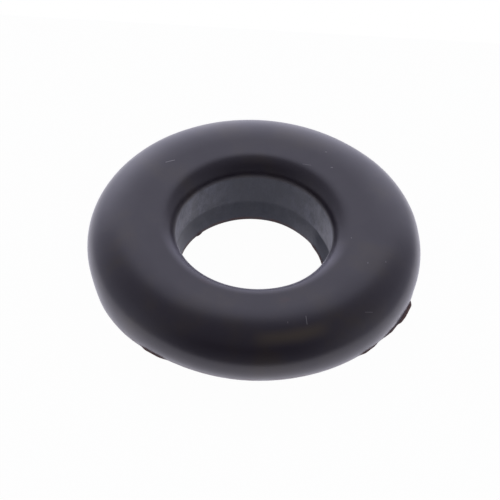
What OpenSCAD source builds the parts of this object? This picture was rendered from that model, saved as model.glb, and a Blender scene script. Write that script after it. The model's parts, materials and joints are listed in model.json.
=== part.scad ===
// Rubber ring grommet, moulded in one piece.
//
// The ring lies flat on its rest face, the underside, with +Z up along the
// bore. The origin is on the bore's axis, in the plane of the rest face.
// Sizes are in millimetres.
//
// One radial section is turned about the bore: a full round rim, a shallow
// crown above and below it, a wide roll into the bore's upper mouth, a
// straight bore, and a short taper that closes in to a sharp lower edge.
// The mould halves met below the rim's widest place, and at the bore's lower
// edge. Two torn pieces of flash are left on the front of the rim, and a flap
// of it at that edge.

/* [Ring] */
// Diameter over the round rim
ring_d = 20; // [15:0.5:30]
// Height from the rest face to the top of the ring
ring_h = 4.4; // [3:0.1:8]

/* [Bore] */
// Diameter of the straight part of the bore
bore_d = 9.5; // [6:0.1:11]
// Height of the tapered part, from the rest face up to the straight part
taper_h = 1.3; // [0.6:0.1:2]
// How far the taper closes in at the rest face, on the radius
taper_in = 0.3; // [0.1:0.05:1]

/* [Rounding] */
// Radius of the round rim, as far as the ring's height leaves room
rim_r = 1.8; // [0.8:0.05:3]
// Radius of the roll from the top into the bore
mouth_r = 1.1; // [0.4:0.05:2]
// Width of the flat land between a mouth and the start of its crown
land_w = 1.05; // [0.2:0.05:1.5]

/* [Flash] */
// Height of the parting line on the rim, where the mould halves met
parting_z = 1.3; // [1:0.1:2.8]
// Thickness of the flash
flash_t = 0.12; // [0.08:0.01:0.3]
// How far the larger piece of flash, on the right, reaches out of the rim
flash_right_out = 0.35; // [0.15:0.05:0.6]
// How far the smaller piece of flash, on the left, reaches out of the rim
flash_left_out = 0.2; // [0.15:0.05:0.6]
// How far the flap at the bore's lower edge reaches in past that edge
flap_in = 0.2; // [0.1:0.05:0.5]

/* [Hidden] */
$fn = 144;

// Each piece of flash on the rim: the direction of its middle from +X and its
// sweep about the bore, in degrees, and how far its middle reaches out
FLASH = [
    [-25, 21, flash_right_out],
    [-124, 12, flash_left_out],
];
// The flap at the bore's lower edge: the direction of its middle, and its
// length along the edge and at its tip
FLAP_DIR = 20;
FLAP_LEN = 2.4;
FLAP_TIP_LEN = 1.7;
// How deep all flash is rooted in the ring
flash_root = 0.4;

// A rounding takes up no more than this share of the room it has
ROOM_SHARE = 0.85;

ring_r = ring_d / 2;
bore_r = bore_d / 2;
// Radius of the bore's sharp lower edge
edge_r = bore_r - taper_in;
// The rim is widest at half the ring's height
mid_z = ring_h / 2;

// The roll at the upper mouth ends level with the top of the ring
mouth_roll_r = min(mouth_r, ROOM_SHARE * (ring_h - taper_h));
mouth_roll_x = bore_r + mouth_roll_r;
mouth_roll_z = ring_h - mouth_roll_r;

// The crown starts where the flat land ends, and leaves this width of wall
// for the outer rounding
crown_x = mouth_roll_x + land_w;
rounding_w = ring_r - crown_x;
// The rim's arc is centred at half height. Where the wall is too narrow for
// that, it is centred higher, over a straight side
rim_z = max(mid_z, ring_h - ROOM_SHARE * rounding_w);
rim_roll_r = min(rim_r, ROOM_SHARE * (ring_h - rim_z), ROOM_SHARE * rounding_w);
rim_x = ring_r - rim_roll_r;

// The crown is the one arc that leaves the land level and meets the rim
// without a corner: rise and run are measured to it from the rim's arc
crown_run = rim_x - crown_x;
crown_rise = ring_h - rim_z - rim_roll_r;
crown_r = rim_roll_r + crown_rise / 2 + crown_run * crown_run / (2 * crown_rise);
// Height of the upper crown's centre
crown_z = ring_h - crown_r;
// Unit direction from the upper crown's centre to where it meets the rim
meet_len = norm([crown_run, rim_z - crown_z]);
meet_dir = [crown_run, rim_z - crown_z] / meet_len;
// That point's distance from the bore's axis, and its height
meet_x = crown_x + crown_r * meet_dir[0];
meet_z = crown_z + crown_r * meet_dir[1];

// Distance of the rounded side from the bore's axis at a height z, where the
// lower half mirrors the upper one
function side_r(z) =
    let (up = mid_z + abs(z - mid_z))
    up > meet_z ? crown_x + sqrt(crown_r * crown_r - (up - crown_z) * (up - crown_z))
    : up > rim_z ? rim_x + sqrt(rim_roll_r * rim_roll_r - (up - rim_z) * (up - rim_z))
    : ring_r;

// What lies under the upper crown's arc, down to half height
module crown() {
    intersection() {
        translate([crown_x, crown_z])
            circle(r = crown_r);
        translate([crown_x, mid_z])
            square([meet_x - crown_x, ring_h]);
    }
}

// What lies under the rim's upper arc, and any straight side below it
module rim() {
    translate([rim_x, rim_z])
        circle(r = rim_roll_r);
    if (rim_z > mid_z)
        translate([rim_x, mid_z])
            square([rim_roll_r, rim_z - mid_z]);
}

// The outer rounding from the top down to half height
module upper_rounding() {
    crown();
    rim();
}

// Everything inside the rounded outlines
module section_core() {
    polygon([
        [edge_r, 0],
        [crown_x, 0],
        [meet_x, ring_h - meet_z],
        [meet_x, meet_z],
        [crown_x, ring_h],
        [mouth_roll_x, ring_h],
        [mouth_roll_x, mouth_roll_z],
        [bore_r, mouth_roll_z],
        [bore_r, taper_h],
    ]);
}

// Radial section of the ring, to the right of the bore's axis
module ring_section() {
    section_core();
    upper_rounding();
    // The lower half mirrors the upper one
    translate([0, ring_h])
        mirror([0, 1])
            upper_rounding();
    translate([mouth_roll_x, mouth_roll_z])
        circle(r = mouth_roll_r);
}

// One thin crescent of flash at the parting line: what reaches out of the rim of
// a smaller disc, with its root inside the ring
module flash_piece(middle, sweep, out) {
    seam_r = side_r(parting_z);
    tip_r = seam_r + out;
    // The disc's edge crosses the rim at both ends of the sweep
    disc_x = (tip_r * tip_r - seam_r * seam_r) / (2 * (tip_r - seam_r * cos(sweep / 2)));
    disc_r = tip_r - disc_x;
    translate([0, 0, parting_z - flash_t / 2])
        rotate([0, 0, middle])
            difference() {
                translate([disc_x, 0, 0])
                    cylinder(r = disc_r, h = flash_t);
                translate([0, 0, -flash_t])
                    cylinder(r = seam_r - flash_root, h = 3 * flash_t);
            }
}

// The flap of flash at the bore's lower edge, level with the rest face
module bore_flap() {
    rotate([0, 0, FLAP_DIR])
        linear_extrude(height = flash_t)
            polygon([
                [edge_r + flash_root, -FLAP_LEN / 2],
                [edge_r + flash_root, FLAP_LEN / 2],
                [edge_r, FLAP_LEN / 2],
                [edge_r - flap_in, FLAP_TIP_LEN / 2],
                [edge_r - flap_in, -FLAP_TIP_LEN / 2],
                [edge_r, -FLAP_LEN / 2],
            ]);
}

module grommet() {
    color([0.17, 0.165, 0.185]) {
        rotate_extrude()
            ring_section();
        for (piece = FLASH)
            flash_piece(piece[0], piece[1], piece[2]);
        bore_flap();
    }
}

grommet();
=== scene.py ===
"""Finish of a moulded rubber ring grommet, and the plain studio that it is shown in.

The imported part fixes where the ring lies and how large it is. This script turns the same
section again as a fine mesh, adds the swells and the torn flash that the mould left, and
gives the rubber its satin surface. Lengths are in metres and angles in degrees.
"""

import json
import logging
import math
from dataclasses import dataclass
from enum import Enum
from typing import Any, Optional, Union

import bmesh
import bpy
from mathutils import Matrix, Vector

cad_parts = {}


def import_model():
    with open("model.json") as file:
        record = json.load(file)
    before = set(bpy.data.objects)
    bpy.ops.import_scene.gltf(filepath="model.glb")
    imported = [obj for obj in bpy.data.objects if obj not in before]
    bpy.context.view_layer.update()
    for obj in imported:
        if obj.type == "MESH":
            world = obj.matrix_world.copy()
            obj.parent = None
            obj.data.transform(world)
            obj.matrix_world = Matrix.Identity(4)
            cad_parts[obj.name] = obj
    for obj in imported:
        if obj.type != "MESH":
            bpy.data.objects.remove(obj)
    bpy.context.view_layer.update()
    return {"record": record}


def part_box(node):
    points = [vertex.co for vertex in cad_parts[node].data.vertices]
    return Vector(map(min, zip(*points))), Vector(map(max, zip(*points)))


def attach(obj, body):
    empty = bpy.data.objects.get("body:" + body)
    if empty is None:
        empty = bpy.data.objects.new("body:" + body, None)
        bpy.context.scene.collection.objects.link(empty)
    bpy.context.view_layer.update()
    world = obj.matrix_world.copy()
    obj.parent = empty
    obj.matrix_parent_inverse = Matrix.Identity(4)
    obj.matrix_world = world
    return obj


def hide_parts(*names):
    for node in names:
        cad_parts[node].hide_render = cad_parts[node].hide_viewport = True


LOG = logging.getLogger("grommet")

MM = 0.001
NODE = "grommet"
BODY = "root"
WHITE = (1.0, 1.0, 1.0)

# Two points of an outline that are closer than this are one
SAME_POINT = 1e-7

Colour = tuple[float, float, float]
Point = tuple[float, float]
# Where a smooth step is 0 and where it is 1
Step = tuple[float, float]


# ---------------------------------------------------------------- nodes as plain expressions


class Wire:
    """One output of a node, which can stand in ordinary arithmetic."""

    def __init__(self, board: "NodeBoard", socket: bpy.types.NodeSocket) -> None:
        """Wraps an output socket, and keeps the board that new nodes are added to."""
        self.board = board
        self.socket = socket

    def __add__(self, other: "Value") -> "Wire":
        """This plus other."""
        return self.board.math("ADD", self, other)

    def __radd__(self, other: "Value") -> "Wire":
        """Other plus this."""
        return self.board.math("ADD", other, self)

    def __sub__(self, other: "Value") -> "Wire":
        """This less other."""
        return self.board.math("SUBTRACT", self, other)

    def __rsub__(self, other: "Value") -> "Wire":
        """Other less this."""
        return self.board.math("SUBTRACT", other, self)

    def __mul__(self, other: "Value") -> "Wire":
        """This times other."""
        return self.board.math("MULTIPLY", self, other)

    def __rmul__(self, other: "Value") -> "Wire":
        """Other times this."""
        return self.board.math("MULTIPLY", other, self)

    def __truediv__(self, other: "Value") -> "Wire":
        """This over other."""
        return self.board.math("DIVIDE", self, other)

    def __rtruediv__(self, other: "Value") -> "Wire":
        """Other over this."""
        return self.board.math("DIVIDE", other, self)

    def __neg__(self) -> "Wire":
        """This with its sign turned."""
        return self.board.math("MULTIPLY", self, -1.0)

    def __abs__(self) -> "Wire":
        """This without its sign."""
        return self.board.math("ABSOLUTE", self)


Value = Union[Wire, int, float]
VectorValue = Union[Wire, tuple[float, float, float]]


class NodeBoard:
    """Adds nodes to a shader tree or a geometry tree, and links them."""

    def __init__(self, tree: bpy.types.NodeTree) -> None:
        """Keeps the node tree to work on."""
        self.tree = tree

    @staticmethod
    def _find(sockets: Any, key: Union[str, int]) -> bpy.types.NodeSocket:
        """The socket with that identifier, name or place.

        Args:
            sockets: A node's inputs or outputs.
            key: Identifier, name or index.

        Returns:
            The socket.
        """
        if isinstance(key, int):
            return sockets[key]
        for socket in sockets:
            if socket.identifier == key:
                return socket
        return sockets[key]

    def add(
        self,
        kind: str,
        settings: Optional[dict[str, Any]] = None,
        sockets: Optional[dict[Union[str, int], Any]] = None,
    ) -> bpy.types.Node:
        """Adds one node.

        Args:
            kind: The node's type.
            settings: Properties, set before any socket.
            sockets: Values or wires by socket identifier, name or index.

        Returns:
            The new node.
        """
        node = self.tree.nodes.new(kind)
        for name, value in (settings or {}).items():
            setattr(node, name, value)
        for key, value in (sockets or {}).items():
            socket = self._find(node.inputs, key)
            if isinstance(value, Wire):
                self.tree.links.new(value.socket, socket)
            else:
                socket.default_value = value
        return node

    def out(self, node: bpy.types.Node, key: Union[str, int] = 0) -> Wire:
        """One output of a node as a wire."""
        return Wire(self, self._find(node.outputs, key))

    def math(self, operation: str, *values: Value) -> Wire:
        """A Math node's result, from its operation and its inputs in order."""
        node = self.add("ShaderNodeMath", {"operation": operation}, dict(enumerate(values)))
        return self.out(node)

    def vector(self, operation: str, *values: VectorValue) -> Wire:
        """A Vector Math node's vector, from its operation and its inputs in order."""
        node = self.add("ShaderNodeVectorMath", {"operation": operation}, dict(enumerate(values)))
        return self.out(node, "Vector")

    def measure(self, operation: str, *values: VectorValue) -> Wire:
        """A Vector Math node's number, such as a length or a dot product."""
        node = self.add("ShaderNodeVectorMath", {"operation": operation}, dict(enumerate(values)))
        return self.out(node, "Value")

    def scaled(self, vector: VectorValue, factor: Value) -> Wire:
        """A vector times a number."""
        sockets = {"Vector": vector, "Scale": factor}
        return self.out(self.add("ShaderNodeVectorMath", {"operation": "SCALE"}, sockets), "Vector")

    def parts(self, vector: Wire) -> tuple[Wire, Wire, Wire]:
        """The x, y and z of a vector."""
        node = self.add("ShaderNodeSeparateXYZ", None, {0: vector})
        return self.out(node, 0), self.out(node, 1), self.out(node, 2)

    def joined(self, x: Value, y: Value, z: Value) -> Wire:
        """A vector of three numbers."""
        return self.out(self.add("ShaderNodeCombineXYZ", None, {0: x, 1: y, 2: z}))

    def ease(self, value: Value, low: float, high: float) -> Wire:
        """A smooth step from 0 at low to 1 at high.

        Args:
            value: What is compared with low and high.
            low: Where the step starts.
            high: Where the step ends. It may be the smaller of the two.

        Returns:
            The step.
        """
        sockets = {"Value": value, "From Min": low, "From Max": high}
        node = self.add("ShaderNodeMapRange", {"interpolation_type": "SMOOTHSTEP"}, sockets)
        return self.out(node, "Result")

    def noise(
        self, place: Wire, grain: float, seed: Value, detail: float, rough: float = 0.5
    ) -> Wire:
        """Noise from 0 to 1.

        Args:
            place: Where it is read.
            grain: Size of its largest features, in the units of place.
            seed: Picks one pattern.
            detail: How many finer layers it has.
            rough: How strong the finer layers are.

        Returns:
            The noise.
        """
        sockets = {
            "Vector": place,
            "W": seed,
            "Scale": 1 / grain,
            "Detail": detail,
            "Roughness": rough,
        }
        return self.out(self.add("ShaderNodeTexNoise", {"noise_dimensions": "4D"}, sockets), "Fac")

    def blend(self, factor: Value, first: Union[Wire, Colour], second: Union[Wire, Colour]) -> Wire:
        """A mix of two colours.

        Args:
            factor: 0 for the first and 1 for the second.
            first: A colour.
            second: A colour.

        Returns:
            The mixed colour.
        """
        first = first if isinstance(first, Wire) else (*first, 1.0)
        second = second if isinstance(second, Wire) else (*second, 1.0)
        sockets = {"Factor_Float": factor, "A_Color": first, "B_Color": second}
        return self.out(self.add("ShaderNodeMix", {"data_type": "RGBA"}, sockets), "Result_Color")

    def mixed(self, factor: Value, first: Wire, second: Wire) -> Wire:
        """A mix of two shaders, with a factor of 0 for the first and 1 for the second."""
        return self.out(self.add("ShaderNodeMixShader", None, {0: factor, 1: first, 2: second}))


# ---------------------------------------------------------------- the section of the ring


def between(start: Point, end: Point, share: float) -> Point:
    """The point that is some share of the way from one point to another."""
    return (start[0] + (end[0] - start[0]) * share, start[1] + (end[1] - start[1]) * share)


def arc(centre: Point, radius: float, start: float, end: float, step: float) -> list[Point]:
    """Points along an arc, both ends among them.

    Args:
        centre: The arc's centre.
        radius: Its radius.
        start: Direction of its first point from the centre.
        end: Direction of its last point.
        step: Largest distance between two points.

    Returns:
        The points.
    """
    count = max(2, math.ceil(abs(math.radians(end - start)) * radius / step))
    angles = [math.radians(start + (end - start) * i / count) for i in range(count + 1)]
    return [(centre[0] + radius * math.cos(a), centre[1] + radius * math.sin(a)) for a in angles]


def stretch(start: Point, end: Point, step: float) -> list[Point]:
    """Points along a straight line, both ends among them, no farther apart than a step."""
    count = max(1, math.ceil(math.dist(start, end) / step))
    return [between(start, end, i / count) for i in range(count + 1)]


def eased_corner(
    before: Point, corner: Point, after: Point, reach: float, count: int = 4
) -> list[Point]:
    """A corner taken off by a small curve.

    Args:
        before: A point on the line that leads to the corner.
        corner: The corner.
        after: A point on the line that leads away.
        reach: How far from the corner the curve starts and ends.
        count: How many steps the curve has.

    Returns:
        The curve's points.
    """
    first = between(corner, before, reach / math.dist(corner, before))
    last = between(corner, after, reach / math.dist(corner, after))
    points = []
    for i in range(count + 1):
        share = i / count
        points.append(between(between(first, corner, share), between(corner, last, share), share))
    return points


@dataclass(frozen=True)
class RingSection:
    """Radial section of the ring.

    Radii are taken from the bore's axis, and heights from the rest face.

    Attributes:
        ring_r: Radius at the rim's widest place.
        height: Height of the ring.
        bore_r: Radius of the bore's straight wall.
        taper_h: Height of the shoulder where the wall starts to close in.
        parting_z: Height of the mould's parting line on the rim.
        taper_in: How far the bore has closed in at the rest face.
        rim_r: Radius of the rim's arc.
        mouth_r: Radius of the roll into the bore.
        land_w: Width of the flat land on the top.
        corner_r: How far the bore's sharp corners are eased.
        step: Largest distance between two points.
        roll_step: The same, on the roll into the bore.
        rest_step: The same, on the flat rest face.
        fine_step: The same, near the parting line.
        fine_reach: How far the fine points go to either side of that line.
    """

    ring_r: float
    height: float
    bore_r: float
    taper_h: float
    parting_z: float = 1.3 * MM
    taper_in: float = 0.3 * MM
    rim_r: float = 1.8 * MM
    mouth_r: float = 1.1 * MM
    land_w: float = 1.05 * MM
    corner_r: float = 0.05 * MM
    step: float = 0.13 * MM
    roll_step: float = 0.091 * MM
    rest_step: float = 0.195 * MM
    fine_step: float = 0.022 * MM
    fine_reach: float = 0.23 * MM

    @property
    def edge_r(self) -> float:
        """Radius of the bore's sharp lower edge."""
        return self.bore_r - self.taper_in

    @property
    def wall_top(self) -> float:
        """Height at which the bore's wall meets the roll at the mouth."""
        return self.height - self.mouth_r

    @property
    def land_in(self) -> float:
        """Radius at which the roll at the mouth meets the flat land."""
        return self.bore_r + self.mouth_r

    @property
    def land_out(self) -> float:
        """Radius at which the land meets the crown."""
        return self.land_in + self.land_w

    def points(self) -> list[Point]:
        """The closed outline, up the bore, over the top and back along the rest face.

        Returns:
            Radius and height of each point, without repeats.
        """
        run = self.ring_r - self.rim_r - self.land_out
        rise = self.height / 2 - self.rim_r
        # The crown leaves the land level and meets the rim's arc without a corner
        crown_r = self.rim_r + rise / 2 + run * run / (2 * rise)
        rim = (self.ring_r - self.rim_r, self.height / 2)
        crown = (self.land_out, self.height - crown_r)
        meet = math.degrees(math.atan2(rim[1] - crown[1], run))
        edge = (self.edge_r, 0.0)
        shoulder = (self.bore_r, self.taper_h)
        roll = (self.land_in, self.wall_top)
        wall_top = (self.bore_r, self.wall_top)
        rest_rim = (crown[0], 0.0)
        bottom = eased_corner(rest_rim, edge, shoulder, self.corner_r)
        bend = eased_corner(edge, shoulder, wall_top, 2 * self.corner_r)
        # How far round the rim's arc the parting line lies, and the fine points reach from it
        drop = math.degrees(math.asin((rim[1] - self.parting_z) / self.rim_r))
        fine = math.degrees(self.fine_reach / self.rim_r)
        runs = [
            bottom,
            stretch(bottom[-1], bend[0], self.step),
            bend,
            stretch(bend[-1], wall_top, self.step),
            arc(roll, self.mouth_r, 180, 90, self.roll_step),
            stretch((roll[0], self.height), (crown[0], self.height), self.step),
            arc(crown, crown_r, 90, meet, self.step),
            arc(rim, self.rim_r, meet, fine - drop, self.step),
            arc(rim, self.rim_r, fine - drop, -fine - drop, self.fine_step),
            arc(rim, self.rim_r, -fine - drop, -meet, self.step),
            arc((crown[0], crown_r), crown_r, -meet, -90, self.step),
            stretch(rest_rim, bottom[0], self.rest_step),
        ]
        outline: list[Point] = []
        for point in (p for run in runs for p in run):
            if not outline or math.dist(point, outline[-1]) > SAME_POINT:
                outline.append(point)
        if math.dist(outline[0], outline[-1]) < SAME_POINT:
            outline.pop()
        return outline


# ---------------------------------------------------------------- what the mould left


class Seam(Enum):
    """The two lines along which rubber crept out of the mould."""

    RIM = "rim"
    BORE_EDGE = "bore edge"


@dataclass(frozen=True)
class Flash:
    """One stretch of torn flash along a seam.

    Attributes:
        name: What the log calls it.
        seam: The line that it stands on.
        start: Heading of its start.
        sweep: How far it runs from there, to higher headings.
        reach: How far its middle stands out of the ring.
        spread: Half its thickness, where it has fallen to about a third.
        ragged: The share of its reach that the tears may change.
        fade: How far from each end it takes to rise.
        torn: How pale and rough the torn rubber is, from 0 to 1.
        grain: Size of the largest tears.
    """

    name: str
    seam: Seam
    start: float
    sweep: float
    reach: float
    spread: float
    ragged: float
    fade: float
    torn: float
    grain: float = 0.5 * MM


# The skin at the bore's lower edge hardly stands out, and shows by its colour
FLASHES = (
    Flash("right_tear", Seam.RIM, -31.0, 17.0, 0.27 * MM, 0.06 * MM, 0.35, 5.0, 1.0, 0.8 * MM),
    Flash("right_thread", Seam.RIM, -38.5, 17.5, 0.15 * MM, 0.05 * MM, 0.35, 6.0, 1.0),
    Flash("right_tail", Seam.RIM, -49.5, 11.0, 0.12 * MM, 0.06 * MM, 0.4, 4.0, 1.0),
    Flash("left_tear", Seam.RIM, -131.0, 13.0, 0.13 * MM, 0.07 * MM, 0.3, 4.0, 1.0),
    Flash("bore_flap", Seam.BORE_EDGE, 6.0, 32.0, 0.2 * MM, 0.14 * MM, 0.3, 6.0, 0.15, 1.0 * MM),
    Flash("bore_skin", Seam.BORE_EDGE, 44.0, 136.0, 0.01 * MM, 0.10 * MM, 0.25, 16.0, 0.5),
    Flash("bore_nib", Seam.BORE_EDGE, 136.0, 8.0, 0.08 * MM, 0.10 * MM, 0.3, 3.0, 0.9),
)


@dataclass(frozen=True)
class Swell:
    """A place on the rim or in the bore that came out a little fuller.

    Attributes:
        name: What the log calls it.
        start: Heading at which it starts to rise.
        full_from: Heading from which it is full.
        full_to: Heading up to which it is full.
        end: Heading at which it has gone.
        reach: How far it stands out of the rim or into the bore.
        height: Height of its middle.
        spread: How far above and below that it has fallen to about a third.
        in_bore: Whether it is in the bore.
    """

    name: str
    start: float
    full_from: float
    full_to: float
    end: float
    reach: float
    height: float = 1.0 * MM
    spread: float = 0.8 * MM
    in_bore: bool = False


SWELLS = (
    Swell("rim_left", -166.0, -149.0, -142.0, -114.0, 0.205 * MM),
    Swell("rim_right", -84.0, -33.0, -18.0, -14.0, 0.115 * MM),
    Swell("crown_right", 8.0, 18.0, 38.0, 58.0, 0.04 * MM, 3.1 * MM),
    Swell("wall_right", -65.0, -15.0, 25.0, 68.0, 0.13 * MM, 2.0 * MM, 4.0 * MM, True),
    Swell("taper_right", 5.0, 28.0, 46.0, 76.0, 0.16 * MM, 1.0 * MM, 1.2 * MM, True),
    Swell("wall_far", 30.0, 70.0, 110.0, 170.0, 0.10 * MM, 0.5 * MM, 3.6 * MM, True),
)


@dataclass
class GrommetRing:
    """The moulded ring: its fine mesh, the swells and flash on it, and its rubber.

    Attributes:
        section: Its radial section.
        finish: Its rubber.
        turns: How many times the section stands round the bore.
        unevenness: How far the surface wanders from its true place.
        uneven_grain: Size of the largest waves in it.
        seed: Picks the waves and the tears.
        outside: Where the rim's swells begin and are full, as shares of the ring's radius.
        flash_side: The same for the rim's flash.
        bore_margin: How far past the bore's wall its swells are still full.
        rest_margin: Height over which the unevenness fades out towards the rest face.
        piece: The ring's object, once it is built.
    """

    section: RingSection
    finish: "MouldedRubber"
    turns: int = 600
    unevenness: float = 0.012 * MM
    uneven_grain: float = 3.5 * MM
    seed: int = 7
    outside: Step = (0.8, 0.9)
    flash_side: Step = (0.9, 0.93)
    bore_margin: float = 0.2 * MM
    rest_margin: float = 0.4 * MM
    piece: Optional[bpy.types.Object] = None

    def build(self) -> bpy.types.Object:
        """Turns the section about the bore and keeps the result as a plain mesh.

        Returns:
            The ring's object.
        """
        outline = self.section.points()
        hub = self.section.ring_r / 2
        # The turning node takes the section lying down: right is out, and down is up
        corners = [(r - hub, -z, 0.0) for r, z in outline]
        edges = [(i, (i + 1) % len(corners)) for i in range(len(corners))]
        mesh = bpy.data.meshes.new("ring_section")
        mesh.from_pydata(corners, edges, [])
        self.piece = bpy.data.objects.new("grommet_ring", mesh)
        bpy.context.scene.collection.objects.link(self.piece)
        modifier = self.piece.modifiers.new("turned_ring", "NODES")
        modifier.node_group = self._turning_tree(hub)
        values = self._inputs()
        for item in modifier.node_group.interface.items_tree:
            if item.in_out == "INPUT" and item.name in values:
                modifier[item.identifier] = values[item.name]
        self._keep_result(modifier)
        faces = len(self.piece.data.polygons)
        LOG.info("%s: %d rows, %d faces", self.piece.name, len(outline), faces)
        LOG.info("flash: %s", ", ".join(flash.name for flash in FLASHES))
        LOG.info("swells: %s", ", ".join(swell.name for swell in SWELLS))
        return self.piece

    def _inputs(self) -> dict[str, Union[int, float]]:
        """The values of the turning tree's named inputs."""
        return {
            "Turns": self.turns,
            "Parting Height": self.section.parting_z,
            "Bore Edge Radius": self.section.edge_r,
            "Unevenness": self.unevenness,
            "Seed": self.seed,
        }

    def _keep_result(self, modifier: bpy.types.Modifier) -> None:
        """Swaps the object's mesh for what the modifier makes, and drops the modifier.

        Args:
            modifier: The modifier to use up.
        """
        graph = bpy.context.evaluated_depsgraph_get()
        made = bpy.data.meshes.new_from_object(self.piece.evaluated_get(graph))
        self.piece.modifiers.remove(modifier)
        shell = bmesh.new()
        shell.from_mesh(made)
        bmesh.ops.recalc_face_normals(shell, faces=shell.faces)
        shell.to_mesh(made)
        shell.free()
        made.name = "grommet_ring"
        made.shade_smooth()
        self.piece.data = made

    def _turning_tree(self, hub: float) -> bpy.types.NodeTree:
        """Builds the tree that turns the section and raises the swells and the flash.

        Args:
            hub: Radius of the circle that the section is carried round on.

        Returns:
            The tree.
        """
        tree = bpy.data.node_groups.new("turned_ring", "GeometryNodeTree")
        tree.interface.new_socket("Geometry", in_out="INPUT", socket_type="NodeSocketGeometry")
        tree.interface.new_socket("Turns", in_out="INPUT", socket_type="NodeSocketInt")
        for name in ("Parting Height", "Bore Edge Radius", "Unevenness", "Seed"):
            tree.interface.new_socket(name, in_out="INPUT", socket_type="NodeSocketFloat")
        tree.interface.new_socket("Geometry", in_out="OUTPUT", socket_type="NodeSocketGeometry")
        board = NodeBoard(tree)
        given = board.add("NodeGroupInput")
        circle = {"Resolution": board.out(given, "Turns"), "Radius": hub}
        path = board.add("GeometryNodeCurvePrimitiveCircle", None, circle)
        section = board.add("GeometryNodeMeshToCurve", None, {"Mesh": board.out(given, "Geometry")})
        curves = {"Curve": board.out(path), "Profile Curve": board.out(section)}
        turned = board.add("GeometryNodeCurveToMesh", None, curves)
        uneven = self._with_unevenness(board, board.out(turned), given)
        raised = self._with_flash(board, uneven, given)
        smooth = board.add("GeometryNodeSetShadeSmooth", None, {"Geometry": raised})
        real = board.add("GeometryNodeRealizeInstances", None, {"Geometry": board.out(smooth)})
        dressed = board.add("GeometryNodeSetMaterial", None, {"Geometry": board.out(real)})
        dressed.inputs["Material"].default_value = self.finish.material()
        board.add("NodeGroupOutput", None, {0: board.out(dressed)})
        return tree

    def _with_unevenness(self, board: NodeBoard, geometry: Wire, given: bpy.types.Node) -> Wire:
        """Moves the surface in and out a little, and raises the swells.

        Args:
            board: The tree's board.
            geometry: The turned ring.
            given: The group's inputs.

        Returns:
            The uneven ring.
        """
        ring = self.section
        place = board.out(board.add("GeometryNodeInputPosition"))
        normal = board.out(board.add("GeometryNodeInputNormal"))
        x, y, height = board.parts(place)
        inward = board.scaled(board.vector("NORMALIZE", board.joined(x, y, 0.0)), -1.0)
        direction = board.math("ARCTAN2", y, x) * math.degrees(1)
        radius = board.measure("LENGTH", board.joined(x, y, 0.0))
        outer = board.ease(radius, *(share * ring.ring_r for share in self.outside))
        inner = board.ease(radius, ring.land_in, ring.bore_r + self.bore_margin)
        wave = board.noise(place, self.uneven_grain, board.out(given, "Seed"), 1.5) - 0.5
        shift = 2 * wave * board.out(given, "Unevenness")
        closing: Value = 0.0
        for swell in SWELLS:
            rising = board.ease(direction, swell.start, swell.full_from)
            falling = board.ease(direction, swell.end, swell.full_to)
            off = (height - swell.height) / swell.spread
            fullness = swell.reach * rising * falling * board.math("EXPONENT", -(off * off))
            if swell.in_bore:
                closing = closing + fullness * inner
            else:
                shift = shift + fullness * outer
        # The rest face stays flat, so only the bore's swells, which move level, reach down to it
        free = board.ease(height, 0.0, self.rest_margin)
        across = board.scaled(normal, shift * free)
        offset = board.vector("ADD", across, board.scaled(inward, closing))
        moved = board.add("GeometryNodeSetPosition", None, {"Geometry": geometry, "Offset": offset})
        return board.out(moved)

    def _with_flash(self, board: NodeBoard, geometry: Wire, given: bpy.types.Node) -> Wire:
        """Raises each piece of flash, and marks where it is torn.

        Args:
            board: The tree's board.
            geometry: The ring without them.
            given: The group's inputs.

        Returns:
            The ring with them.
        """
        x, y, _ = board.parts(board.out(board.add("GeometryNodeInputPosition")))
        outward = board.vector("NORMALIZE", board.joined(x, y, 0.0))
        direction = board.math("ARCTAN2", y, x) * math.degrees(1)
        seed = board.out(given, "Seed")
        shift: Value = 0.0
        torn: Value = 0.0
        for number, flash in enumerate(FLASHES):
            # Tears run across the flash, so the noise is read on its own seam line
            seam_r = self.section.ring_r if flash.seam is Seam.RIM else self.section.edge_r
            tear = board.noise(board.scaled(outward, seam_r), flash.grain, seed + number, 3.0, 0.6)
            along = (direction - flash.start) / flash.sweep
            share = flash.fade / flash.sweep
            window = board.ease(along, 0.0, share) * board.ease(along, 1.0, 1.0 - share)
            kept = 1 - flash.ragged + flash.ragged * (tear * 2 - 0.5)
            fullness = window * kept * self._bell(board, flash, given)
            if flash.seam is Seam.RIM:
                shift = board.math("MAXIMUM", shift, fullness * flash.reach)
            else:
                shift = shift - fullness * flash.reach
            torn = board.math("MAXIMUM", torn, fullness * flash.torn)
        sockets = {"Geometry": geometry, "Offset": board.scaled(outward, shift)}
        moved = board.add("GeometryNodeSetPosition", None, sockets)
        marked = board.add(
            "GeometryNodeStoreNamedAttribute",
            {"data_type": "FLOAT", "domain": "POINT"},
            {"Geometry": board.out(moved), "Name": MouldedRubber.TORN, "Value": torn},
        )
        return board.out(marked)

    def _bell(self, board: NodeBoard, flash: Flash, given: bpy.types.Node) -> Wire:
        """How the flash rises from the ring to either side of its seam.

        Args:
            board: The tree's board.
            flash: The flash.
            given: The group's inputs.

        Returns:
            1 on the seam and 0 away from it.
        """
        x, y, height = board.parts(board.out(board.add("GeometryNodeInputPosition")))
        radius = board.measure("LENGTH", board.joined(x, y, 0.0))
        if flash.seam is Seam.RIM:
            off = (height - board.out(given, "Parting Height")) / flash.spread
            side = board.ease(radius, *(share * self.section.ring_r for share in self.flash_side))
            return board.math("EXPONENT", -(off * off)) * side
        off_r = (radius - board.out(given, "Bore Edge Radius")) / flash.spread
        off_z = height / flash.spread
        return board.math("EXPONENT", -(off_r * off_r + off_z * off_z))

    def dress(self) -> None:
        """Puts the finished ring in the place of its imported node."""
        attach(self.piece, BODY)
        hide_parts(NODE)
        LOG.info("%s: rides on %s and replaces %s", self.piece.name, BODY, NODE)


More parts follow.
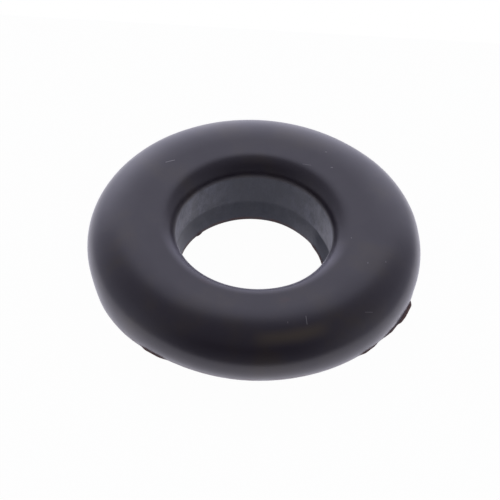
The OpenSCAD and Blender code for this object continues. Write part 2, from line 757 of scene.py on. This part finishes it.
# ---------------------------------------------------------------- the rubber


@dataclass(frozen=True)
class Scratch:
    """A fine mark on the upper side, placed by its middle.

    Attributes:
        radius: Distance of its middle from the bore's axis, in millimetres.
        heading: Heading of its middle.
        length: Its length in millimetres.
        direction: Which way it runs, counted from +X.
        strength: How plainly it shows, from 0 to 1.
        half_width: Half its width in millimetres.
    """

    radius: float
    heading: float
    length: float
    direction: float
    strength: float
    half_width: float = 0.04


@dataclass(frozen=True)
class Stain:
    """A faint patch of another hue on the upper side.

    Attributes:
        radius: Distance of its middle from the bore's axis, in millimetres.
        heading: Heading of its middle.
        across: How far it fades out towards the rim and the bore, in millimetres.
        sweep: How far it fades out along the ring.
        colour: Its colour.
        strength: How plainly it shows, from 0 to 1.
    """

    radius: float
    heading: float
    across: float
    sweep: float
    colour: Colour
    strength: float


@dataclass(frozen=True)
class RubberZones:
    """Where the rubber differs, each from 0 to 1, and the noise that breaks it up."""

    bore: Wire
    walled: Wire
    dull: Wire
    mouth: Wire
    painted_lip_highlight: Wire
    dust_and_reflection: Wire
    seam: Wire
    torn: Wire
    scratch: Wire
    cloud: Wire
    mottle: Wire
    grain: Wire


@dataclass(frozen=True)
class MouldedRubber:
    """Satin black moulded rubber, with a dusty bore that a painted reflection also lightens, a
    painted highlight on the front of its mouth, torn flash and a few fine scratches.

    Its own lengths are in millimetres, apart from the depth of its relief. Each Step of a zone
    runs from where the zone ends to where it is full.
    """

    ring: RingSection

    colour: Colour = (0.024, 0.017, 0.0255)
    worn_colour: Colour = (0.034, 0.022, 0.015)
    bore_colour: Colour = (0.019, 0.026, 0.042)
    # Dust on the bore's wall, which also serves as a painted reflection of the white floor there
    dust_and_reflection_colour: Colour = (0.20, 0.21, 0.26)
    # Painted highlight on the front of the mouth
    painted_lip_highlight_colour: Colour = (0.15, 0.14, 0.168)
    seam_colour: Colour = (0.13, 0.052, 0.036)
    torn_colour: Colour = (0.20, 0.10, 0.075)
    scratch_colour: Colour = (0.3, 0.29, 0.28)

    index: float = 1.5
    sheen: float = 0.6
    sheen_roughness: float = 0.3
    # The bloom is the thin film that rubber sweats out, uneven and not in the bore
    bloom: float = 0.6
    bloom_least: float = 0.85
    bloom_more: float = 0.3
    bloom_roughness: float = 0.28
    roughness: float = 0.34
    bore_roughness: float = 0.355
    mouth_roughness: float = 0.55
    dull_roughness: float = 0.62
    torn_roughness: float = 0.6
    seam_roughness: float = 0.36
    relief_depth: float = 0.005 * MM

    # Zones across the ring, past the bore's wall or its lower edge, or in from the rim
    bore_step: Step = (0.12, 0.02)
    mouth_step: Step = (1.1, 0.4)
    edge_seam_step: Step = (0.15, 0.08)
    rim_seam_step: Step = (0.6, 0.4)
    # Zones by height, from the top of the taper, of the bore's wall, or of the lower edge,
    # and to either side of the rim's parting line
    taper_step: Step = (0.1, -0.05)
    wall_step: Step = (0.15, -0.05)
    edge_seam_height: Step = (0.26, 0.10)
    rim_seam_height: Step = (0.32, 0.08)
    rim_seam_strength: float = 0.7
    upper_side: Step = (2.6, 3.2)
    # A painted highlight lightens the front of the mouth
    painted_lip_highlight_front: Step = (-0.5, -3.0)
    # The taper is dull at the right, towards the front
    dull_right: Step = (2.6, 3.4)
    dull_front: Step = (3.0, 2.0)

    # Size of the largest features of each noise, and how its values turn into a zone
    cloud_grain: float = 2.6
    mottle_grain: float = 0.55
    fine_grain: float = 0.10
    streak_grain: float = 0.6
    worn_clouds: Step = (0.45, 0.72)
    bloom_clouds: Step = (0.3, 0.7)
    painted_lip_highlight_mottle: Step = (0.0, 0.5)
    seam_mottle: Step = (0.3, 0.6)
    dust_and_reflection_streaks: Step = (0.35, 0.85)
    torn_pale: Step = (0.15, 0.5)
    torn_rough: Step = (0.1, 0.45)

    # How much the noise adds to the roughness, and to the height of the relief
    cloud_roughness: float = 0.06
    mottle_roughness: float = 0.10
    bore_mottle_roughness: float = 0.25
    grain_relief: float = 0.5
    mottle_relief: float = 0.225
    bore_mottle_relief: float = 0.9
    torn_relief: float = 2.5

    # Dust and a painted reflection lighten the bore, most of all on its two sides, but less on the
    # taper there
    dust_and_reflection_all_round: float = 0.32
    dust_and_reflection_at_sides: float = 1.2
    dust_and_reflection_sides: Step = (1.2, 4.2)
    taper_less_lightened: Step = (2.0, 3.8)
    # A painted reflection of the floor lightens the bore a little all along its lower edge
    painted_edge_reflection: float = 0.24
    painted_edge_reflection_height: Step = (0.8, 0.1)

    scratches: tuple[Scratch, ...] = (
        Scratch(7.1, 139.0, 0.55, 22.0, 1.0),
        Scratch(5.8, 60.0, 0.5, -8.0, 0.4),
        Scratch(8.1, -66.0, 0.5, -80.0, 0.7),
        Scratch(9.2, -41.0, 0.45, 21.0, 0.3),
        Scratch(7.4, 57.0, 0.06, 0.0, 0.7, 0.06),
        Scratch(6.6, 48.0, 0.08, 0.0, 0.7, 0.06),
        Scratch(5.8, -8.0, 0.05, 90.0, 0.5, 0.05),
        Scratch(7.3, -22.0, 0.06, 90.0, 0.5, 0.05),
        Scratch(8.2, -17.0, 0.05, 90.0, 0.4, 0.05),
        Scratch(8.0, -74.0, 0.06, 90.0, 0.4, 0.05),
    )
    stains: tuple[Stain, ...] = (
        Stain(8.8, -73.0, 0.6, 18.0, (0.085, 0.063, 0.034), 0.8),
        Stain(5.6, -119.0, 0.4, 5.0, (0.05, 0.017, 0.02), 0.6),
        Stain(6.4, -72.0, 0.3, 4.0, (0.05, 0.017, 0.02), 0.5),
    )

    TORN = "torn"

    def material(self) -> bpy.types.Material:
        """Builds the material.

        Returns:
            The material.
        """
        material = bpy.data.materials.new("moulded_rubber")
        material.use_nodes = True
        material.node_tree.nodes.clear()
        board = NodeBoard(material.node_tree)
        place = board.out(board.add("ShaderNodeTexCoord"), "Object")
        place = board.scaled(place, 1 / MM)
        zones = self._zones(board, place)
        clouds = board.ease(zones.cloud, *self.bloom_clouds)
        bloom = self.bloom * (self.bloom_least + self.bloom_more * clouds)
        dents = self.mottle_relief + self.bore_mottle_relief * zones.bore
        dents = dents + self.torn_relief * zones.torn
        relief = self.grain_relief * zones.grain + dents * zones.mottle
        sockets = {"Strength": 1.0, "Distance": self.relief_depth, "Height": relief}
        bump = board.add("ShaderNodeBump", None, sockets)
        surface = board.add(
            "ShaderNodeBsdfPrincipled",
            None,
            {
                "Base Color": self._colour_of(board, place, zones),
                "Roughness": self._roughness_of(board, zones),
                "IOR": self.index,
                "Sheen Weight": self.sheen,
                "Sheen Roughness": self.sheen_roughness,
                "Coat Weight": bloom * (1 - zones.bore) * (1 - zones.seam),
                "Coat Roughness": self.bloom_roughness,
                "Normal": board.out(bump),
            },
        )
        board.add("ShaderNodeOutputMaterial", None, {"Surface": board.out(surface)})
        return material

    def _zones(self, board: NodeBoard, place: Wire) -> RubberZones:
        """Works out where the rubber differs.

        Args:
            board: The material's board.
            place: The place on the ring, in millimetres.

        Returns:
            The zones.
        """
        x, y, height = board.parts(place)
        plan = board.joined(x, y, 0.0)
        radius = board.measure("LENGTH", plan)
        cloud = board.noise(place, self.cloud_grain, 1.0, 3.0)
        mottle = board.noise(place, self.mottle_grain, 2.0, 4.0, 0.6)
        grain = board.noise(place, self.fine_grain, 3.0, 3.0, 0.6)
        past_wall = radius - self.ring.bore_r / MM
        bore = board.ease(past_wall, *self.bore_step)
        mouth = board.ease(past_wall, *self.mouth_step) * (1 - bore)
        taper = board.ease(height - self.ring.taper_h / MM, *self.taper_step) * bore
        # The streaks of dust and painted reflection stand upright, twice as tall as they are wide
        squashed = board.joined(x, y, height * 0.5)
        streak = board.noise(squashed, self.streak_grain, 4.0, 4.0, 0.7)
        # Dust and a painted reflection lighten the bore's wall, most of all at its two sides
        sides = self.dust_and_reflection_all_round + self.dust_and_reflection_at_sides * board.ease(abs(x), *self.dust_and_reflection_sides)
        dust_and_reflection = board.ease(streak, *self.dust_and_reflection_streaks) * sides
        dust_and_reflection = dust_and_reflection * (1 - taper * board.ease(abs(x), *self.taper_less_lightened))
        # Painted reflection of the floor, lightening the bore's lower edge
        painted_edge_reflection = self.painted_edge_reflection * taper * board.ease(height, *self.painted_edge_reflection_height)
        seam = self._seams(board, radius, height)
        return RubberZones(
            bore=bore,
            walled=bore * board.ease(height - self.ring.wall_top / MM, *self.wall_step),
            dull=taper * board.ease(x, *self.dull_right) * board.ease(y, *self.dull_front),
            mouth=mouth,
            # Painted highlight on the front of the mouth
            painted_lip_highlight=mouth * board.ease(y, *self.painted_lip_highlight_front),
            dust_and_reflection=board.math("MAXIMUM", dust_and_reflection, painted_edge_reflection),
            seam=seam * board.ease(mottle, *self.seam_mottle),
            torn=board.out(board.add("ShaderNodeAttribute", {"attribute_name": self.TORN}), "Fac"),
            scratch=self._scratches(board, plan) * board.ease(height, *self.upper_side),
            cloud=cloud,
            mottle=mottle,
            grain=grain,
        )

    def _colour_of(self, board: NodeBoard, place: Wire, zones: RubberZones) -> Wire:
        """Lays the colours over one another.

        Args:
            board: The material's board.
            place: The place on the ring, in millimetres.
            zones: Where the rubber differs.

        Returns:
            The colour.
        """
        x, y, height = board.parts(place)
        plan = board.joined(x, y, 0.0)
        upper = board.ease(height, *self.upper_side)
        worn = board.ease(zones.cloud, *self.worn_clouds)
        colour = board.blend(worn, self.colour, self.worn_colour)
        for stain in self.stains:
            colour = board.blend(self._stain(board, plan, stain) * upper, colour, stain.colour)
        colour = board.blend(zones.walled, colour, self.bore_colour)
        # Painted highlight on the front of the mouth, in patches
        painted_lip_highlight = zones.painted_lip_highlight * board.ease(zones.mottle, *self.painted_lip_highlight_mottle)
        colour = board.blend(painted_lip_highlight, colour, self.painted_lip_highlight_colour)
        # Dust and a painted reflection lighten the bore's wall
        colour = board.blend(zones.walled * zones.dust_and_reflection, colour, self.dust_and_reflection_colour)
        colour = board.blend(zones.seam, colour, self.seam_colour)
        torn = board.ease(zones.torn, *self.torn_pale)
        colour = board.blend(torn, colour, self.torn_colour)
        return board.blend(zones.scratch, colour, self.scratch_colour)

    def _roughness_of(self, board: NodeBoard, zones: RubberZones) -> Wire:
        """Adds up what makes the rubber rougher or smoother.

        Args:
            board: The material's board.
            zones: Where the rubber differs.

        Returns:
            The roughness.
        """
        mottle = zones.mottle - 0.5
        in_bore = self.bore_roughness - self.roughness + self.bore_mottle_roughness * mottle
        torn = board.ease(zones.torn, *self.torn_rough)
        rough = self.roughness + self.mottle_roughness * mottle
        rough = rough + self.cloud_roughness * (zones.cloud - 0.5)
        rough = rough + zones.bore * in_bore
        rough = rough + zones.mouth * (self.mouth_roughness - self.roughness)
        rough = rough + zones.dull * (self.dull_roughness - self.bore_roughness)
        rough = rough + torn * (self.torn_roughness - self.roughness)
        return rough + zones.seam * (self.seam_roughness - self.roughness)

    def _seams(self, board: NodeBoard, radius: Wire, height: Wire) -> Wire:
        """Where the parting line runs: round the rim, and along the bore's lower edge.

        Args:
            board: The material's board.
            radius: Distance from the bore's axis.
            height: Height above the rest face.

        Returns:
            1 on the line and 0 away from it.
        """
        off = abs(height - self.ring.parting_z / MM)
        rim = board.ease(self.ring.ring_r / MM - radius, *self.rim_seam_step)
        rim = rim * board.ease(off, *self.rim_seam_height) * self.rim_seam_strength
        edge = board.ease(radius - self.ring.edge_r / MM, *self.edge_seam_step)
        return board.math("MAXIMUM", rim, edge * board.ease(height, *self.edge_seam_height))

    @staticmethod
    def _stain(board: NodeBoard, plan: Wire, stain: Stain) -> Wire:
        """Where one stain is.

        Args:
            board: The material's board.
            plan: The place, seen from above.
            stain: The stain.

        Returns:
            Its strength in the middle, and 0 away from it.
        """
        radius = board.measure("LENGTH", plan)
        heading = math.radians(stain.heading)
        toward = (math.cos(heading), math.sin(heading), 0.0)
        turn = board.measure("DOT_PRODUCT", board.vector("NORMALIZE", plan), toward)
        along = board.ease(turn, math.cos(math.radians(stain.sweep)), 1.0)
        across = board.ease(abs(radius - stain.radius), stain.across, 0.0)
        return along * across * stain.strength

    def _scratches(self, board: NodeBoard, plan: Wire) -> Value:
        """Where the scratches and specks are.

        Args:
            board: The material's board.
            plan: The place, seen from above.

        Returns:
            0 on clean rubber and up to 1 in the middle of a mark.
        """
        marks: Value = 0.0
        for mark in self.scratches:
            heading, direction = math.radians(mark.heading), math.radians(mark.direction)
            middle = mark.radius * Vector((math.cos(heading), math.sin(heading), 0.0))
            run = mark.length * Vector((math.cos(direction), math.sin(direction), 0.0))
            away = board.vector("SUBTRACT", plan, tuple(middle - run / 2))
            reached = board.measure("DOT_PRODUCT", away, tuple(run)) / run.length_squared
            reached = board.math("MINIMUM", board.math("MAXIMUM", reached, 0.0), 1.0)
            gap = board.measure("DISTANCE", away, board.scaled(tuple(run), reached))
            shown = board.ease(gap, mark.half_width, 0.0) * mark.strength
            marks = board.math("MAXIMUM", marks, shown)
        return marks


# ---------------------------------------------------------------- the studio


@dataclass(frozen=True)
class StudioLight:
    """A large soft panel behind the ring, dimmer side walls and ceiling, and a dark front.

    Attributes:
        panel: Strength of the panel.
        panel_half_width: Heading of its sides, from its own middle.
        panel_top: Angle of its upper edge above the horizon.
        panel_blur: Half the width of its soft edges.
        walls_low: Strength of the side walls at the horizon.
        walls_high: Their strength at their top.
        walls_end: Heading of their front ends, from the panel's middle.
        walls_top: Angle of their upper edge above the horizon.
        walls_blur: Half the width of their soft ends. At the top it is half of that.
        ceiling: Strength of the ceiling.
        front_low: Strength of the front at the horizon.
        front_high: Its strength from front_top upwards.
        front_top: Angle above the horizon from which it is at its darkest.
        lamp: Strength of a low lamp at the left end of the panel.
        lamp_heading: Its heading to the left, from the panel's middle.
        lamp_sides: How far to either side it ends and is full.
        lamp_top: Angles above the horizon at which it ends and is full.
        tint: Colour of all of it.
    """

    panel: float = 0.96
    panel_half_width: float = 44.0
    panel_top: float = 69.0
    panel_blur: float = 6.0
    walls_low: float = 0.54
    walls_high: float = 0.26
    walls_end: float = 125.0
    walls_top: float = 62.0
    walls_blur: float = 25.0
    ceiling: float = 0.19
    front_low: float = 0.22
    front_high: float = 0.10
    front_top: float = 40.0
    lamp: float = 0.35
    lamp_heading: float = 38.0
    lamp_sides: Step = (32.0, 8.0)
    lamp_top: Step = (40.0, 10.0)
    tint: Colour = (0.96, 0.95, 1.16)

    def build(self) -> None:
        """Makes the world, which the camera sees as plain white."""
        world = bpy.data.worlds.new("studio")
        bpy.context.scene.world = world
        world.use_nodes = True
        world.node_tree.nodes.clear()
        board = NodeBoard(world.node_tree)
        ray = board.out(board.add("ShaderNodeTexCoord"), "Generated")
        level = self._level(board, board.vector("NORMALIZE", ray))
        light = {"Color": (*self.tint, 1.0), "Strength": level}
        white = {"Color": (*WHITE, 1.0), "Strength": 1.0}
        lit = board.out(board.add("ShaderNodeBackground", None, light))
        plain = board.out(board.add("ShaderNodeBackground", None, white))
        seen = board.out(board.add("ShaderNodeLightPath"), "Is Camera Ray")
        board.add("ShaderNodeOutputWorld", None, {"Surface": board.mixed(seen, lit, plain)})
        LOG.info("studio light: panel %.2f, lamp %.2f", self.panel, self.lamp)

    def _level(self, board: NodeBoard, ray: Wire) -> Wire:
        """How bright the studio is in each direction.

        Args:
            board: The world's board.
            ray: The direction.

        Returns:
            The brightness.
        """
        right, back, up = board.parts(ray)
        rise = board.math("ARCSINE", up) * math.degrees(1)
        heading = board.math("ARCTAN2", right, back) * math.degrees(1)
        below_ceiling = self._inside(board, rise, self.walls_top, self.walls_blur / 2)
        walls = self._inside(board, abs(heading), self.walls_end, self.walls_blur)
        walls = walls * below_ceiling
        panel = self._inside(board, abs(heading), self.panel_half_width, self.panel_blur)
        panel = panel * self._inside(board, rise, self.panel_top, self.panel_blur)
        lamp = board.ease(abs(heading + self.lamp_heading), *self.lamp_sides)
        lamp = lamp * board.ease(rise, *self.lamp_top)
        wall_gain = (self.walls_low - self.walls_high) * board.ease(rise, self.walls_top, 0.0)
        front_gain = (self.front_low - self.front_high) * board.ease(rise, self.front_top, 0.0)
        front = self.front_high + front_gain
        level = front + (self.walls_high + wall_gain - front) * walls
        level = level + (self.ceiling - front) * (1 - below_ceiling)
        level = level + (self.panel - level) * panel
        return level + self.lamp * lamp

    @staticmethod
    def _inside(board: NodeBoard, value: Value, edge: float, blur: float) -> Wire:
        """A soft step: 1 well below an edge, 0 well above it, and twice the blur wide."""
        return board.ease(value, edge + blur, edge - blur)


@dataclass(frozen=True)
class Floor:
    """The plain white card that the ring lies on.

    Attributes:
        half_size: Half the length of its sides.
        white: How white its paper is.
        lift: How much of it the camera and reflections see as plain white.
        tint: Colour of it in reflections.
    """

    half_size: float = 21.0 * MM
    white: float = 0.9
    lift: float = 0.98
    tint: Colour = (1.0, 0.98, 1.12)

    def build(self) -> bpy.types.Object:
        """Makes the floor.

        Returns:
            The floor's object.
        """
        mesh = bpy.data.meshes.new("floor")
        s = self.half_size
        mesh.from_pydata([(-s, -s, 0), (s, -s, 0), (s, s, 0), (-s, s, 0)], [], [(0, 1, 2, 3)])
        floor = bpy.data.objects.new("floor", mesh)
        bpy.context.scene.collection.objects.link(floor)
        mesh.materials.append(self._material())
        LOG.info("floor: %.0f mm across", 2 * s / MM)
        return floor

    def _material(self) -> bpy.types.Material:
        """A pale paper that the camera and reflections see nearly white, shadow and all.

        Returns:
            The material.
        """
        material = bpy.data.materials.new("pale_paper")
        material.use_nodes = True
        material.node_tree.nodes.clear()
        board = NodeBoard(material.node_tree)
        grey = (self.white, self.white, self.white, 1.0)
        paper = board.out(board.add("ShaderNodeBsdfDiffuse", None, {"Color": grey}))
        rays = board.add("ShaderNodeLightPath")
        seen = board.out(rays, "Is Camera Ray")
        tone = board.blend(seen, self.tint, WHITE)
        glow = board.out(board.add("ShaderNodeEmission", None, {"Color": tone, "Strength": 1.0}))
        for kind in ("Is Glossy Ray", "Is Transmission Ray"):
            seen = board.math("MAXIMUM", seen, board.out(rays, kind))
        above = board.mixed(self.lift * seen, paper, glow)
        # From below the card is clear, so that the rest face shows
        clear = board.out(board.add("ShaderNodeBsdfTransparent"))
        below = board.out(board.add("ShaderNodeNewGeometry"), "Backfacing")
        card = board.mixed(below, above, clear)
        board.add("ShaderNodeOutputMaterial", None, {"Surface": card})
        return material


@dataclass(frozen=True)
class Camera:
    """A long lens that looks down on the ring from the front, a little tilted.

    Attributes:
        elevation: Its angle above the floor.
        roll: How far it is turned about its own axis.
        lens_mm: Its focal length in millimetres.
        sensor_mm: The width of its sensor in millimetres.
        distance: How far it is from what it aims at.
        aim_left: How far to the left of the ring's middle it aims, in the plane of the view.
        aim_down: How far below the middle it aims, in the plane of the view.
        clip_start: The nearest that it sees.
        clip_end: The farthest that it sees.
    """

    elevation: float = 47.3
    roll: float = 3.3
    lens_mm: float = 288.0
    sensor_mm: float = 36.0
    distance: float = 240.1 * MM
    aim_left: float = 0.245 * MM
    aim_down: float = 0.162 * MM
    clip_start: float = 10.0 * MM
    clip_end: float = 10.0

    def build(self, middle: Vector) -> bpy.types.Object:
        """Makes the camera.

        Args:
            middle: The ring's middle.

        Returns:
            The camera's object.
        """
        rise, lean = math.radians(self.elevation), math.radians(self.roll)
        back = Vector((0.0, -math.cos(rise), math.sin(rise)))
        level_up = Vector((0.0, math.sin(rise), math.cos(rise)))
        level_right = Vector((1.0, 0.0, 0.0))
        right = math.cos(lean) * level_right + math.sin(lean) * level_up
        up = math.cos(lean) * level_up - math.sin(lean) * level_right
        aim = middle - self.aim_left * right - self.aim_down * up
        data = bpy.data.cameras.new("camera")
        data.lens = self.lens_mm
        data.sensor_width = self.sensor_mm
        data.clip_start = self.clip_start
        data.clip_end = self.clip_end
        camera = bpy.data.objects.new("camera", data)
        bpy.context.scene.collection.objects.link(camera)
        turn = Matrix((right, up, back)).transposed().to_4x4()
        camera.matrix_world = Matrix.Translation(aim + self.distance * back) @ turn
        bpy.context.scene.camera = camera
        LOG.info("camera: %.1f degrees above the floor", self.elevation)
        return camera


# ---------------------------------------------------------------- the whole scene


def packed_section(record: dict[str, Any]) -> RingSection:
    """Reads the ring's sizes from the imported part.

    Args:
        record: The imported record.

    Returns:
        The section. The sizes that the record doesn't hold keep their own values.
    """
    low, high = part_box(NODE)
    bore = next(mount for mount in record["mounts"] if mount["name"] == "bore")
    bore_r = bore["dims"]["r_mm"] * MM
    wall_h = bore["dims"]["length_mm"] * MM
    taper_h = bore["pos_m"][2] - wall_h / 2
    return RingSection(ring_r=high.x, height=high.z - low.z, bore_r=bore_r, taper_h=taper_h)


def main() -> None:
    """Builds the ring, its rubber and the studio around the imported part."""
    logging.basicConfig(level=logging.INFO, format="%(name)s: %(message)s")
    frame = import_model()
    scene = bpy.context.scene
    scene.view_settings.view_transform = "Standard"
    section = packed_section(frame["record"])
    middle = Vector((0.0, 0.0, section.height / 2))
    Camera().build(middle)
    StudioLight().build()
    Floor().build()
    ring = GrommetRing(section, MouldedRubber(section))
    ring.build()
    ring.dress()


if __name__ == "__main__":
    main()
